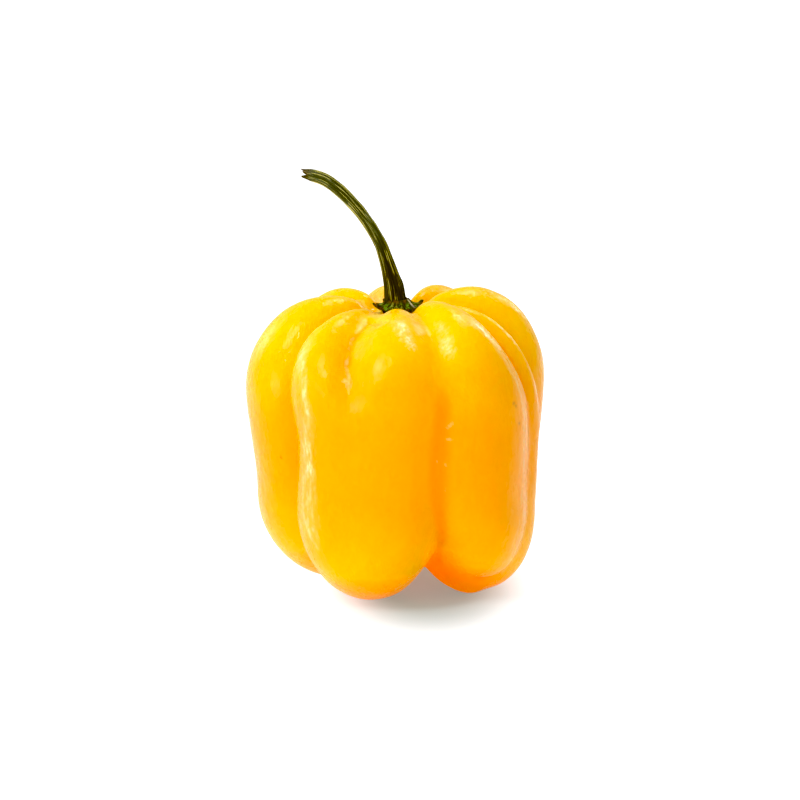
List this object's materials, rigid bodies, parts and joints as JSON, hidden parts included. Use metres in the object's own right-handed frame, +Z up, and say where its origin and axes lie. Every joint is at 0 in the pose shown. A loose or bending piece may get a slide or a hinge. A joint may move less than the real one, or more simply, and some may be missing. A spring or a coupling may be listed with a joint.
{
  "type": "chilli pepper",
  "caption": "Whole picked chilli pepper: a blocky fruit with deep rounded lobes standing on its lobe ends, a small calyx in the top hollow and a thin curved stem.",
  "frame": {"origin": "on the surface that the pepper stands on, under the middle of the fruit", "axes": "+Z up along the fruit's core towards the stem, -Y towards the front, and the stem leans to -X"},
  "size_m": [0.0497, 0.0481, 0.0691],
  "materials": {
    "fruit_skin": "smooth waxy fruit skin, yellow at the shoulders and orange towards the feet",
    "calyx_green": "dull green, brown at its dried points",
    "stem_green": "ribbed green stalk, dark brown where it has dried"
  },
  "bodies": {
    "root": {"fruit": "fruit_skin", "calyx": "calyx_green", "stem": "stem_green"}
  },
  "joints": []
}
